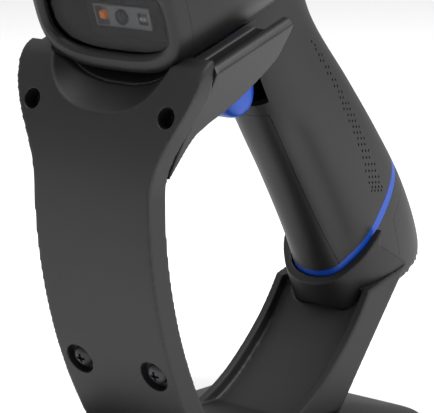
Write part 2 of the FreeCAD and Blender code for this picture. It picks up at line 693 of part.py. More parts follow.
# The bib-shaped scoop under the nose
scoop_points = oval(SCOOP_HALF_WIDTH, 30.0, 2.6)
scoop_wire = closed_curve([vec(a, SCOOP_ROOT_Y, SCOOP_ROOT_Z + 30.0 + b) for a, b in scoop_points])
scoop_run = 50.0
scoop = Part.Face(scoop_wire).extrude(
    vec(0, -scoop_run, -scoop_run * math.tan(math.radians(SCOOP_SLOPE)))
)
front_blade = blade_solid.cut(spine_pocket).cut(scoop).cut(seat_head)
blade_spine = spine_pocket.fuse(toe).removeSplitter()

# Low cross-head screws in round bosses behind the blade
low_turn = math.asin((BLADE_WAIST_Z - LOW_SCREW_Z) / BLADE_LOWER_RADIUS)
low_inward = vec(0, math.cos(low_turn), math.sin(low_turn))
low_surface_y = lower_centre[0] - BLADE_LOWER_RADIUS * math.cos(low_turn)
blade_screws = []
for side in (-1, 1):
    surface = vec(side * LOW_SCREW_X, low_surface_y, LOW_SCREW_Z)
    boss = cylinder(LOW_BOSS_RADIUS, BLADE_THICKNESS - 2.0, surface, low_inward)
    seat = surface + low_inward * (M4_PAN_SCREW[2] + 0.2)
    sink = cylinder(LOW_SINK_RADIUS, M4_PAN_SCREW[2] + 3.2, seat - low_inward * (M4_PAN_SCREW[2] + 3.2),
                    low_inward)
    bore = cylinder(M4_PAN_SCREW[0] + HOLE_CLEARANCE, BLADE_THICKNESS, seat, low_inward)
    boss = boss.common(blade_solid)
    front_blade = front_blade.fuse(boss).cut(sink).cut(bore)
    blade_spine = blade_spine.cut(boss)
    blade_spine = blade_spine.cut(cylinder(M4_PAN_SCREW[0], 5.6, seat, low_inward))
    blade_screws.append(screw(M4_PAN_SCREW, 5.6, seat, low_inward))

# ---------- stand: cradle fork ----------

cradle_side = [(-12.0, RIM_Z), (47.0, RIM_Z), (46.2, 2.0), (43.3, -3.3), (39.9, -8.2), (31.0, -12.2),
               (19.0, -15.8), (3.0, -17.4), (-4.0, -20.0), (-14.0, -30.0)]
cradle_body = side_profile(cradle_side, RIM_HALF_WIDTH + 5)
lower_half_width = RIM_HALF_WIDTH - 10.2
cross_right = [(RIM_HALF_WIDTH - RIM_BEVEL[0], RIM_Z), (RIM_HALF_WIDTH, RIM_Z - RIM_BEVEL[1]),
               (lower_half_width, -16.5), (lower_half_width - 6.0, -31.0)]
cross_points = cross_right + [(-x, z) for x, z in reversed(cross_right)]
cross_wire = Part.makePolygon([vec(x, -40, z) for x, z in cross_points + cross_points[:1]])
cradle_body = cradle_body.common(Part.Face(cross_wire).extrude(vec(0, 140, 0)))
for side in (-1, 1):
    channel_x = sorted((side * CHANNEL_INNER_HALF, side * (RIM_HALF_WIDTH - RIM_WALL)))
    cradle_body = cradle_body.cut(block(channel_x, (0.0, BIG), (CHANNEL_FLOOR_Z, BIG)))
fork_slot = mid_block(FORK_SLOT_HALF, (FORK_SLOT_FRONT_Y, BIG), (-BIG, BIG))
cradle_body = dock(cradle_body.cut(fork_slot)).cut(seat_head)
ahead_of_blade = side_profile(
    [(-BIG, BASE_CROWN_TOP)] + blade_rear_line + [(-60.6, 156.6), (-60.6, BIG), (-BIG, BIG)], BIG / 2
)
cradle = cradle_body.cut(ahead_of_blade).cut(scoop)
magnet_centre = vec(0, *docked_point(4.0, -12.0))
presence_magnet = cylinder(MAGNET_RADIUS, MAGNET_THICKNESS, magnet_centre, Z_AXIS)
magnet_room = cylinder(MAGNET_RADIUS, BIG, magnet_centre + Z_AXIS * (MAGNET_THICKNESS - BIG), Z_AXIS)
cradle = cradle.cut(magnet_room)

ear_turn = math.asin((EAR_SCREW_Z - BLADE_WAIST_Z) / BLADE_UPPER_RADIUS)
ear_inward = vec(0, math.cos(ear_turn), -math.sin(ear_turn))
ear_surface_y = upper_centre[0] - BLADE_UPPER_RADIUS * math.cos(ear_turn)
cradle_screws = []
for side in (-1, 1):
    surface = vec(side * EAR_SCREW_X, ear_surface_y, EAR_SCREW_Z)
    seat = surface + ear_inward * EAR_SCREW_DEPTH
    ear_sink = cylinder(EAR_HOLE_RADIUS, EAR_SCREW_DEPTH + 10, seat - ear_inward * (EAR_SCREW_DEPTH + 10),
                        ear_inward)
    ear_bore = cylinder(M3_SCREW[0] + HOLE_CLEARANCE, BLADE_THICKNESS, seat, ear_inward)
    front_blade = front_blade.cut(ear_sink).cut(ear_bore)
    cradle = cradle.cut(cylinder(M3_SCREW[0], 9.0, seat, ear_inward))
    cradle_screws.append(screw(M3_SCREW, 9.0, seat, ear_inward))

# ---------- stand: rear arm and handle cup ----------

ring_point = docked_point(RING_Y, RING_Z)


def from_ring(offset_y, offset_z):
    """A place in the side view given from the middle of the docked scanner's ring."""
    return (ring_point[0] + offset_y, ring_point[1] + offset_z)


arm_top_front = from_ring(-11.7, -27.2)
arm_top_rear = from_ring(12.8, -20.2)
arm_rise = [(0.0, 0.0), (0.195, 0.038), (0.442, 0.211), (0.682, 0.479), (0.862, 0.737), (1.0, 1.0)]
arm_rim = curve_between([
    (ARM_TOE[0] + y_share * (arm_top_front[0] - ARM_TOE[0]),
     ARM_TOE[1] + z_share * (arm_top_front[1] - ARM_TOE[1]))
    for y_share, z_share in arm_rise
])
arm_outline = [(ARM_TOE[0], BASE_CROWN_TOP)] + arm_rim + [arm_top_rear, (ARM_FOOT_REAR_Y, BASE_CROWN_TOP)]
arm_solid = side_profile(arm_outline, ARM_HALF_WIDTH)
channel_shift = ARM_CHANNEL_DEPTH / math.sqrt(2)
channel_line = [(y + channel_shift, z - channel_shift) for y, z in arm_rim]
channel_line = [(y, max(z, BASE_CROWN_TOP + 1.2)) for y, z in channel_line]
channel_outline = channel_line + [(20.0, 90.0), (-30.0, 90.0), (-30.0, BASE_CROWN_TOP + 1.2)]
channel = side_profile(channel_outline, ARM_HALF_WIDTH - ARM_RIM_WALL)
arm_solid = arm_solid.cut(channel)

ring_plane = below_plane(ring_point[0], ring_point[1], RING_SLOPE + DOCK_TILT)
cup_zone = side_profile(
    [from_ring(-30.0, -20.0), from_ring(-24.0, -40.0), from_ring(-16.0, -44.0), from_ring(-6.5, -43.6),
     arm_top_rear, from_ring(-3.7, -10.9), from_ring(-3.7, 15.0), from_ring(-30.0, 15.0)],
    ARM_HALF_WIDTH,
)
cup_block = dock(handle_solid(SEAT_GAP + CUP_WALL)).common(cup_zone).common(ring_plane)
handle_cup = cup_block.cut(seat_handle)
rear_arm = arm_solid.cut(cup_block).cut(seat_handle)

# Holes for the stand bolts in the feet of the blade riser and the arm
for x, y in stand_bolt_places:
    bolt_hole = cylinder(M4_BOLT[0], BOLT_LENGTH, vec(x, y, bolt_seat_z), Z_AXIS)
    blade_spine = blade_spine.cut(bolt_hole)
    rear_arm = rear_arm.cut(bolt_hole)

# ---------- files ----------

os.makedirs("parts", exist_ok=True)

stand_pieces = {
    "base_cover": base_cover,
    "base_weight": base_weight,
    "base_feet": base_feet,
    "base_screws": base_screws,
    "stand_bolts": stand_bolts,
    "front_blade": front_blade,
    "blade_spine": blade_spine,
    "blade_screws": blade_screws,
    "cradle": cradle,
    "cradle_screws": cradle_screws,
    "presence_magnet": presence_magnet,
    "rear_arm": rear_arm,
    "handle_cup": handle_cup,
}
scanner_pieces = {
    "nose_bezel": nose_bezel,
    "window_gasket": window_gasket,
    "scan_window": scan_window,
    "imager_engine": imager_engine,
    "imager_lens": imager_lens,
    "aimer_led": aimer_led,
    "illumination_led": illumination_led,
    "engine_bracket": engine_bracket,
    "top_cover": top_cover,
    "main_housing": main_housing,
    "grip_front": grip_front,
    "housing_screws": housing_screws,
    "main_board": main_board,
    "board_screws": board_screws,
    "beeper": beeper,
    "status_light": status_light,
    "trigger": trigger,
    "trigger_pin": trigger_pin,
    "trigger_spring": trigger_spring,
    "switch_board": switch_board,
    "trigger_switch": trigger_switch,
    "switch_button": switch_button,
    "accent_ring": accent_ring,
    "end_cap": end_cap,
    "battery_door": battery_door,
    "battery": battery,
    "battery_contacts": battery_contacts,
}
for name, piece in stand_pieces.items():
    write(name, piece)
for name, piece in scanner_pieces.items():
    write(name, [dock(solid) for solid in piece] if isinstance(piece, list) else dock(piece))
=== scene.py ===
import json
import math

import bmesh
import bpy
from mathutils import Matrix, Vector, bvhtree


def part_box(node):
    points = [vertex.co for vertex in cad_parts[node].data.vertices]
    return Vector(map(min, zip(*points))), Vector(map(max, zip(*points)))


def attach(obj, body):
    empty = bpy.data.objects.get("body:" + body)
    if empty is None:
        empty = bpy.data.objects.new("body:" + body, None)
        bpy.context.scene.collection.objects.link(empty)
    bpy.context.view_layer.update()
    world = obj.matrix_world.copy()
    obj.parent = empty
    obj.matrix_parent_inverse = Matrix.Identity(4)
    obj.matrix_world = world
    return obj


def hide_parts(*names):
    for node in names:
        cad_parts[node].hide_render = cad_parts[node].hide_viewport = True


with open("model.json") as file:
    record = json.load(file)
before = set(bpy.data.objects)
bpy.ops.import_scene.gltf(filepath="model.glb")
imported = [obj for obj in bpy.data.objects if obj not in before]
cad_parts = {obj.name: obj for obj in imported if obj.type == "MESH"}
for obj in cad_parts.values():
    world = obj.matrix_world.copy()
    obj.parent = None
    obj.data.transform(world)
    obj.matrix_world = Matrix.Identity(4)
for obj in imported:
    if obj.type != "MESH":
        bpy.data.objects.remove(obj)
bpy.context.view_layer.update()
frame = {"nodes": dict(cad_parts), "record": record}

MM = 0.001

# ---------------------------------------------------------------------------
# Camera, floor and light: a pale sweep of paper, one large soft box above and
# to the right, and an even white room that the black plastic mirrors faintly.

VIEW_ROUND = math.radians(41.0)
VIEW_UP = math.radians(12.0)
VIEW_DISTANCE = 0.84075
look_at = Vector((0.0, -9.975 * MM, 92.625 * MM))
back = Vector((
    math.sin(VIEW_ROUND) * math.cos(VIEW_UP),
    -math.cos(VIEW_ROUND) * math.cos(VIEW_UP),
    math.sin(VIEW_UP),
))
camera_data = bpy.data.cameras.new("camera")
camera_data.lens = 190.8
camera_data.sensor_width = 36.0
camera_data.clip_start = 0.05
camera_data.clip_end = 20.0
camera = bpy.data.objects.new("camera", camera_data)
camera.location = look_at + back * VIEW_DISTANCE
camera.rotation_euler = back.to_track_quat("Z", "Y").to_euler()
bpy.context.scene.collection.objects.link(camera)
bpy.context.scene.camera = camera


def srgb(hex_text):
    """A six-digit sRGB hex colour as linear RGBA."""
    channels = [int(hex_text[place:place + 2], 16) / 255 for place in (0, 2, 4)]
    linear = [c / 12.92 if c <= 0.04045 else ((c + 0.055) / 1.055) ** 2.4 for c in channels]
    return (*linear, 1.0)


def add_node(material, kind, inputs=None, stops=(), **settings):
    """Adds a node; an input given as another node's socket is linked, any other is set."""
    tree = material.node_tree
    new = tree.nodes.new(kind)
    for name, value in settings.items():
        setattr(new, name, value)
    for name, value in (inputs or {}).items():
        if isinstance(value, bpy.types.NodeSocket):
            tree.links.new(value, new.inputs[name])
        else:
            new.inputs[name].default_value = value
    for place, (position, colour) in enumerate(stops):
        new.color_ramp.elements[place].position = position
        new.color_ramp.elements[place].color = srgb(colour)
    return new


def new_material(name):
    """An empty material with its Principled shader."""
    material = bpy.data.materials.new(name)
    material.use_nodes = True
    return material, material.node_tree.nodes["Principled BSDF"]


def link(material, source, target):
    material.node_tree.links.new(source, target)


paper, shader = new_material("matte_paper_sweep")
coordinates = add_node(paper, "ShaderNodeTexCoord").outputs["Object"]
grain = add_node(paper, "ShaderNodeTexNoise", {"Vector": coordinates, "Scale": 900.0, "Detail": 3.0})
tone = add_node(paper, "ShaderNodeValToRGB", {"Fac": grain.outputs["Fac"]},
                stops=[(0.3, "FBFBFB"), (0.7, "FFFFFF")])
link(paper, tone.outputs["Color"], shader.inputs["Base Color"])
shader.inputs["Roughness"].default_value = 0.9
floor_mesh = bpy.data.meshes.new("floor")
floor_mesh.from_pydata([(-6, -6, 0), (6, -6, 0), (6, 6, 0), (-6, 6, 0)], [], [(0, 1, 2, 3)])
floor = bpy.data.objects.new("floor", floor_mesh)
floor.data.materials.append(paper)
bpy.context.scene.collection.objects.link(floor)

world = bpy.data.worlds.new("studio")
bpy.context.scene.world = world
world.use_nodes = True
world.node_tree.nodes["Background"].inputs["Color"].default_value = (1.0, 1.0, 1.0, 1.0)
world.node_tree.nodes["Background"].inputs["Strength"].default_value = 0.55


def soft_box(name, place, size, power):
    """A square area light aimed at the middle of the object."""
    data = bpy.data.lights.new(name, "AREA")
    data.shape = "SQUARE"
    data.size = size
    data.energy = power
    lamp = bpy.data.objects.new(name, data)
    lamp.location = place
    lamp.rotation_euler = (Vector(place) - look_at).to_track_quat("Z", "Y").to_euler()
    bpy.context.scene.collection.objects.link(lamp)


soft_box("key_soft_box", (1.1, 0.3, 1.2), 0.8, 26.0)
soft_box("top_soft_box", (-0.2, -0.3, 1.6), 1.0, 16.0)
bpy.context.scene.view_settings.view_transform = "Standard"

# ---------------------------------------------------------------------------
# Matt black ABS of the stand: injection moulded in a tool that was spark
# eroded, so the skin is a fine even grain that scatters highlights.


def moulded_plastic(name, dark, light, roughness, grain_mm, bump):
    """Moulded plastic: slow tone drift, a fine eroded grain, and slightly rubbed high spots."""
    material, shader = new_material(name)
    place = add_node(material, "ShaderNodeTexCoord").outputs["Object"]
    drift = add_node(material, "ShaderNodeTexNoise", {"Vector": place, "Scale": 18.0, "Detail": 2.0})
    grain = add_node(material, "ShaderNodeTexNoise",
                     {"Vector": place, "Scale": 1.0 / (grain_mm * MM), "Detail": 2.0, "Roughness": 0.6})
    tone = add_node(material, "ShaderNodeValToRGB", {"Fac": drift.outputs["Fac"]},
                    stops=[(0.3, dark), (0.7, light)])
    link(material, tone.outputs["Color"], shader.inputs["Base Color"])
    gloss = add_node(material, "ShaderNodeMapRange", {
        "Value": grain.outputs["Fac"], "From Min": 0.3, "From Max": 0.7,
        "To Min": roughness - 0.05, "To Max": roughness + 0.06,
    })
    link(material, gloss.outputs["Result"], shader.inputs["Roughness"])
    relief = add_node(material, "ShaderNodeBump",
                      {"Height": grain.outputs["Fac"], "Strength": bump, "Distance": 0.04 * MM})
    link(material, relief.outputs["Normal"], shader.inputs["Normal"])
    shader.inputs["IOR"].default_value = 1.54
    shader.inputs["Specular IOR Level"].default_value = 0.35
    return material


stand_abs = moulded_plastic("black_abs_spark_eroded", "0F0F10", "131314", 0.5, 0.35, 0.35)

# ---------------------------------------------------------------------------
# Base cover: a low crowned plate with broad rounded corners, moulded in one
# piece and screwed down over the steel weight that keeps the stand upright.

bodies = frame["record"]["behaviour"]["bodies"]
body_of = {name: body for body, names in bodies.items() for name in names}


def finish_piece(piece, node_name, material, sharp_degrees=35.0):
    """Shades a piece, gives it its finish, and lets it stand for its CAD node."""
    piece.data.materials.clear()
    piece.data.materials.append(material)
    piece.data.shade_smooth()
    piece.data.set_sharp_from_angle(angle=math.radians(sharp_degrees))
    if piece.name not in bpy.context.scene.collection.objects:
        bpy.context.scene.collection.objects.link(piece)
    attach(piece, body_of[node_name])
    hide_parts(node_name)


def mesh_object(name, points, faces):
    """A mesh piece from points in millimetres."""
    mesh = bpy.data.meshes.new(name)
    mesh.from_pydata([Vector(point) * MM for point in points], [], faces)
    mesh.validate()
    bm = bmesh.new()
    bm.from_mesh(mesh)
    bmesh.ops.recalc_face_normals(bm, faces=bm.faces)
    bm.to_mesh(mesh)
    bm.free()
    piece = bpy.data.objects.new(name, mesh)
    bpy.context.scene.collection.objects.link(piece)
    return piece


def settle(piece):
    """Applies a piece's modifiers to its mesh."""
    graph = bpy.context.evaluated_depsgraph_get()
    piece.data = bpy.data.meshes.new_from_object(piece.evaluated_get(graph))
    piece.modifiers.clear()
    return piece


def skin(rings):
    """Points and faces of a closed form through rings of equal length."""
    points = [point for ring in rings for point in ring]
    count = len(rings[0])
    faces = []
    for row in range(len(rings) - 1):
        for column in range(count):
            after = (column + 1) % count
            faces.append((row * count + column, row * count + after,
                          (row + 1) * count + after, (row + 1) * count + column))
    faces.append(tuple(reversed(range(count))))
    faces.append(tuple(range((len(rings) - 1) * count, len(rings) * count)))
    return points, faces


def oval_ring(half_a, half_b, power, count):
    """A superellipse as (a, b) pairs, starting at +a."""
    pairs = []
    for step in range(count):
        angle = 2 * math.pi * step / count
        cosine, sine = math.cos(angle), math.sin(angle)
        pairs.append((half_a * math.copysign(abs(cosine) ** (2 / power), cosine),
                      half_b * math.copysign(abs(sine) ** (2 / power), sine)))
    return pairs


base_low, base_high = (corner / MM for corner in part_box("base_cover"))
BASE_CORNER = 20.0
BASE_EDGE_RADIUS = 1.4
BASE_RIM = 3.6


def rounded_outline(half_x, half_y, corner, per_corner):
    """A rounded rectangle in plan, as (x, y) pairs."""
    pairs = []
    for quarter in range(4):
        centre_x = (half_x - corner) * (1 if quarter in (0, 3) else -1)
        centre_y = (half_y - corner) * (1 if quarter in (0, 1) else -1)
        for step in range(per_corner + 1):
            angle = math.pi / 2 * (quarter + step / per_corner)
            pairs.append((centre_x + corner * math.cos(angle), centre_y + corner * math.sin(angle)))
    return pairs


base_rings = []
crown_height = base_high.z - base_low.z - BASE_RIM
base_steps = [(0.5, 0.0), (0.0, 0.5), (0.0, BASE_RIM - BASE_EDGE_RADIUS)]
for step in range(1, 7):
    turn = math.pi / 2 * step / 6 * 0.86
    base_steps.append((BASE_EDGE_RADIUS * (1 - math.cos(turn)),
                       BASE_RIM - BASE_EDGE_RADIUS + BASE_EDGE_RADIUS * math.sin(turn)))
for step in range(1, 11):
    share = step / 10
    base_steps.append((BASE_EDGE_RADIUS + share * 30.0,
                       BASE_RIM + crown_height * math.sin(math.pi / 2 * share)))
for inset, height in base_steps:
    outline = rounded_outline(base_high.x - inset, base_high.y - inset, max(BASE_CORNER - inset * 0.5, 4), 12)
    base_rings.append([(x, y, base_low.z + height) for x, y in outline])
base_cover = mesh_object("base_cover_moulding", *skin(base_rings))
finish_piece(base_cover, "base_cover", stand_abs)

# ---------------------------------------------------------------------------
# Scanner body: head and grip are one smooth casting-like shape in black
# polycarbonate, moulded as thin shells that part along fine lines.

DOCK_TILT = math.radians(18.0)
dock = Matrix.Translation((0.0, -63.2 * MM, 147.3 * MM)) @ Matrix.Rotation(DOCK_TILT, 4, "X")
HEAD_HALF_WIDTH = 34.4
HEAD_HEIGHT = 50.0
HEAD_LENGTH = 104.0
GRIP_LENGTH = 136.0
GRIP_HALF_WIDTH = 19.3
SHELL_WALL = 2.2
RING_POINTS = 72


def through(stations, count):
    """Rows of values along a smooth Catmull-Rom curve through the stations."""
    rows = []
    last = len(stations) - 1
    for step in range(count + 1):
        place = step / count * last
        first = min(int(place), last - 1)
        t = place - first
        p0, p1 = stations[max(first - 1, 0)], stations[first]
        p2, p3 = stations[first + 1], stations[min(first + 2, last)]
        rows.append([
            0.5 * (2 * b + (c - a) * t + (2 * a - 5 * b + 4 * c - d) * t * t
                   + (3 * b - a - 3 * c + d) * t ** 3)
            for a, b, c, d in zip(p0, p1, p2, p3)
        ])
    return rows


HEAD_STATIONS = [
    # share of the length, share of half width, share of half height, lift of the middle
    (0.0, 0.96, 0.92, -0.04), (0.07, 1.0, 0.96, -0.02), (0.34, 1.0, 1.0, 0.0),
    (0.62, 0.92, 0.98, 0.0), (0.84, 0.72, 0.84, 0.02), (1.0, 0.40, 0.50, 0.06),
]
GRIP_STATIONS = [
    # share of the length below the head, front, rear, share of half width
    (-0.09, 52.0, 96.0, 0.86), (0.11, 54.5, 95.6, 0.87), (0.36, 60.7, 109.5, 0.94),
    (0.54, 67.0, 119.3, 0.98), (0.72, 72.4, 127.8, 1.0), (0.88, 76.0, 131.8, 1.0),
    (1.02, 78.5, 132.0, 0.96),
]
NOSE_ROUND = 2.0
FLOOR_Z = 1.5 - GRIP_LENGTH


def head_rings(grow, round_nose):
    """The head's rings from nose to rear, in the scanner's own frame."""
    rings = []
    middle = HEAD_HEIGHT / 2
    for along, width, height, lift in through(HEAD_STATIONS, 40):
        y = along * HEAD_LENGTH
        edge = round_nose if along < 0.5 else 7.0
        near_end = min(y, HEAD_LENGTH - y)
        pull = edge * (1 - math.sqrt(max(1 - max(1 - near_end / edge, 0) ** 2, 0))) if near_end < edge else 0
        y += -grow if along < 0.001 else grow if along > 0.999 else 0
        ring = oval_ring(HEAD_HALF_WIDTH * width + grow - pull, middle * height + grow - pull, 3.2,
                         RING_POINTS)
        rings.append([(a, y, middle * (1 + lift) + b) for a, b in ring])
    return rings


def grip_rings(grow):
    """The grip's rings from inside the head down to the foot, with finger grooves."""
    rings = []
    for down, front, rear, width in through(GRIP_STATIONS, 48):
        z = -down * GRIP_LENGTH
        half_b = (rear - front) / 2 + grow
        ring = []
        fade = min(max((-z - 42.0) / 14.0, 0), 1) * min(max((z + 122.0) / 18.0, 0), 1)
        for a, b in oval_ring(GRIP_HALF_WIDTH * width + grow, half_b, 2.4, RING_POINTS):
            bearing = math.degrees(math.atan2(abs(a) / GRIP_HALF_WIDTH, -b / half_b))
            dip = 2.0 * fade * math.exp(-((bearing - 46.0) / 11.0) ** 2)
            shrink = 1 - dip / math.hypot(a, b)
            ring.append((a * shrink, (front + rear) / 2 + b * shrink, z))
        rings.append(ring)
    return rings


def foot_height(y):
    """The underside of the grip: nearly level, turning up at the back and front."""
    rear = max((y - 112.0) / 21.0, 0)
    front = max((88.0 - y) / 14.0, 0)
    return FLOOR_Z + 20.0 * rear ** 3.2 + 6.5 * front ** 2


def scanner_form(name, grow, voxel, rounds, round_nose):
    """The joined form of head and grip, blended where they meet."""
    head_points, head_faces = skin(head_rings(grow, round_nose))
    grips = grip_rings(grow)
    trimmed = []
    for ring in grips:
        trimmed.append([(x, y, max(z, foot_height(y) - grow)) for x, y, z in ring])
    grip_points, grip_faces = skin(trimmed)
    start = len(head_points)
    faces = head_faces + [tuple(place + start for place in face) for face in grip_faces]
    form = mesh_object(name, head_points + grip_points, faces)
    remesh = form.modifiers.new("join", "REMESH")
    remesh.mode = "VOXEL"
    remesh.voxel_size = voxel * MM
    blend = form.modifiers.new("blend", "SMOOTH")
    blend.factor = 0.5
    blend.iterations = rounds
    return settle(form)


outer_form = scanner_form("outer_form", 0.0, 0.8, 14, NOSE_ROUND)
inner_form = scanner_form("inner_form", -SHELL_WALL, 1.4, 4, 0.5)
body = bmesh.new()
body.from_mesh(inner_form.data)
bmesh.ops.reverse_faces(body, faces=body.faces)
body.from_mesh(outer_form.data)
scanner_shell = bpy.data.meshes.new("scanner_shell")
body.to_mesh(scanner_shell)
body.free()


def keep_side(bm, point, normal):
    """Cuts a closed form by a plane, keeps what lies against the normal, and caps it."""
    geometry = bm.verts[:] + bm.edges[:] + bm.faces[:]
    cut = bmesh.ops.bisect_plane(bm, geom=geometry, plane_co=Vector(point) * MM, plane_no=Vector(normal),
                                 clear_outer=True)
    edges = [item for item in cut["geom_cut"] if isinstance(item, bmesh.types.BMEdge)]
    if edges:
        bmesh.ops.triangle_fill(bm, edges=edges, use_beauty=True, normal=Vector(normal))


def scanner_piece(name, planes):
    """A moulded shell: the scanner's form between planes, put in the stand."""
    bm = bmesh.new()
    bm.from_mesh(scanner_shell)
    for point, normal in planes:
        keep_side(bm, point, normal)
    mesh = bpy.data.meshes.new(name)
    bm.to_mesh(mesh)
    bm.free()
    mesh.transform(dock)
    piece = bpy.data.objects.new(name, mesh)
    bpy.context.scene.collection.objects.link(piece)
    return piece


def carve(piece, cutter, operation="DIFFERENCE"):
    """Takes a cutter's shape out of a piece, or keeps what both share."""
    modifier = piece.modifiers.new("carve", "BOOLEAN")
    modifier.object = cutter
    modifier.operation = operation
    modifier.solver = "EXACT"
    settle(piece)
    bpy.data.objects.remove(cutter)
    return piece


BEZEL_DEPTH = 7.0
SPLIT_Z = 6.0
SEAM = 0.12
STRIP_TOP_Z = -43.5
STRIP_FRONT_Y = 61.5
STRIP_FOOT_Z = -133.5
LIGHT_FLOOR_Z = 25.0
TOOL_TOP_Z = 90.0
RING_SLOPE = math.radians(34.0)
RING_MIDDLE = (0.0, 100.2, -103.3)
RING_HALF = 1.7
ring_up = Vector((0.0, -math.sin(RING_SLOPE), math.cos(RING_SLOPE)))


def on_ring_axis(offset):
    """A point on the ring's axis, above its middle plane by the offset."""
    return Vector(RING_MIDDLE) + ring_up * offset


def join_meshes(target, others):
    """Adds the meshes of other forms to a piece and removes those forms."""
    joined = bmesh.new()
    for form in (target, *others):
        joined.from_mesh(form.data)
    joined.to_mesh(target.data)
    joined.free()
    for form in others:
        bpy.data.objects.remove(form)


def prism(name, outline, across, low, high):
    """An outline drawn in the plane across one axis, pushed through along it."""
    place = {
        "x": lambda a, b, t: (t, a, b),
        "y": lambda a, b, t: (a, t, b),
        "z": lambda a, b, t: (a, b, t),
    }[across]
    return mesh_object(name, *skin([[place(a, b, t) for a, b in outline] for t in (low, high)]))


def docked_prism(name, outline, across, low, high):
    """A straight tool drawn in the scanner's frame and put in the stand with it."""
    tool = prism(name, outline, across, low, high)
    tool.data.transform(dock)
    return tool


def box_outline(low_a, high_a, low_b, high_b):
    return [(low_a, low_b), (high_a, low_b), (high_a, high_b), (low_a, high_b)]


# Polycarbonate from a finely blasted tool: a closer grain and a shade more gloss.
scanner_abs = moulded_plastic("black_polycarbonate_fine_matt", "131314", "171718", 0.45, 0.28, 0.3)
rear_way, nose_way = (0, 1, 0), (0, -1, 0)
up_way, down_way = (0, 0, 1), (0, 0, -1)

# ---------------------------------------------------------------------------
# Top cover: the upper shell of the head, screwed down from below, with a slot
# near its rear for the light pipe.

top_cover = scanner_piece("top_cover_moulding", [
    ((0, BEZEL_DEPTH + SEAM, 0), nose_way), ((0, 0, SPLIT_Z), down_way),
])
light_slot = box_outline(65.9, 71.1, LIGHT_FLOOR_Z, TOOL_TOP_Z)
carve(top_cover, docked_prism("light_slot_tool", light_slot, "x", -8.1, 8.1))
finish_piece(top_cover, "top_cover", scanner_abs)

# ---------------------------------------------------------------------------
# Main housing: the belly of the head and the palm side of the grip in one
# moulding, with a well for the trigger and room for the finger strip.

main_housing = scanner_piece("main_housing_moulding", [
    ((0, BEZEL_DEPTH + SEAM, 0), nose_way), ((0, 0, SPLIT_Z - SEAM), up_way),
    (on_ring_axis(RING_HALF + SEAM), -ring_up),
])
STRIP_LEAN = math.tan(math.radians(14.2))


def strip_outline(grow):
    """The side view of the finger strip's zone at the front of the grip."""
    front = STRIP_FRONT_Y + grow
    foot_front = front + (STRIP_TOP_Z - STRIP_FOOT_Z) * STRIP_LEAN
    return [(0.0, STRIP_TOP_Z + grow), (front, STRIP_TOP_Z + grow), (foot_front, STRIP_FOOT_Z),
            (0.0, STRIP_FOOT_Z)]


well = [(34.0, 5.5), (66.0, 5.5), (66.0, -29.0)]
well += [tuple(pair) for pair in through([(65.6, -32.0), (62.6, -37.0), (57.0, -39.9), (52.0, -40.3)], 16)]
well += [(34.0, -40.3)]
carve(main_housing, docked_prism("trigger_well_tool", well, "x", -10.4, 10.4))
carve(main_housing, docked_prism("strip_room_tool", strip_outline(SEAM), "x", -40.0, 40.0))

# Grip dimples: rows of small rounded pits pressed along both palm sides, one
# wide under the head and four wide near the ring.
DIMPLE_ROWS = 27
DIMPLE_HALF = (0.36, 0.55)
palm_line = through([(84.6, -23.4), (92.5, -46.5), (98.1, -70.1), (101.1, -93.0)], DIMPLE_ROWS - 1)
grip_skin = bvhtree.BVHTree.FromPolygons([vertex.co for vertex in outer_form.data.vertices],
                                         [face.vertices for face in outer_form.data.polygons])
pit_points, pit_faces = [], []
for row, (middle_y, middle_z) in enumerate(palm_line):
    wide = 1 + round(3 * (row / (DIMPLE_ROWS - 1)) ** 0.8)
    for column in range(wide):
        across_row = column - (wide - 1) / 2 + (0.25 if row % 2 else -0.25)
        y, z = middle_y + across_row * 1.9, middle_z - across_row * 0.9
        hit = grip_skin.ray_cast(Vector((60.0, y, z)) * MM, Vector((-1.0, 0.0, 0.0)))[0]
        if hit is None:
            continue
        skin_x = hit.x / MM
        for side in (-1, 1):
            rings = [[(side * x, y + a, z + b) for a, b in oval_ring(*DIMPLE_HALF, 3.0, 12)]
                     for x in (skin_x - 0.7, skin_x + 2.5)]
            points, faces = skin(rings)
            pit_faces += [tuple(place + len(pit_points) for place in face) for face in faces]
            pit_points += points
pit_tool = mesh_object("dimple_tool", pit_points, pit_faces)
pit_tool.data.transform(dock)
carve(main_housing, pit_tool)
finish_piece(main_housing, "main_housing", scanner_abs)

# ---------------------------------------------------------------------------
# Finger strip: the separate front face of the grip, below the trigger, clipped
# into the housing.

grip_front = scanner_piece("finger_strip_moulding", [
    ((0, 0, STRIP_TOP_Z), up_way), (on_ring_axis(RING_HALF + SEAM), -ring_up),
])
carve(grip_front, docked_prism("strip_tool", strip_outline(0.0), "x", -40.0, 40.0), "INTERSECT")
finish_piece(grip_front, "grip_front", scanner_abs)

# ---------------------------------------------------------------------------
# Accent ring: a thin slanted band of satin blue ABS, clamped between the
# housing and the end cap when the grip is screwed together.

# A smoother tool than the black pieces had, so it reflects in softer, wider patches.
blue_abs = moulded_plastic("blue_abs_satin", "06348C", "0A409C", 0.36, 0.3, 0.15)
accent_ring = scanner_piece("accent_ring_blue", [
    (on_ring_axis(RING_HALF), ring_up), (on_ring_axis(-RING_HALF), -ring_up),
])
finish_piece(accent_ring, "accent_ring", blue_abs)

# ---------------------------------------------------------------------------
# End cap and battery door: the cap closes the grip under the ring, and the door
# behind it slides off for the battery. Both are moulded like the housing.

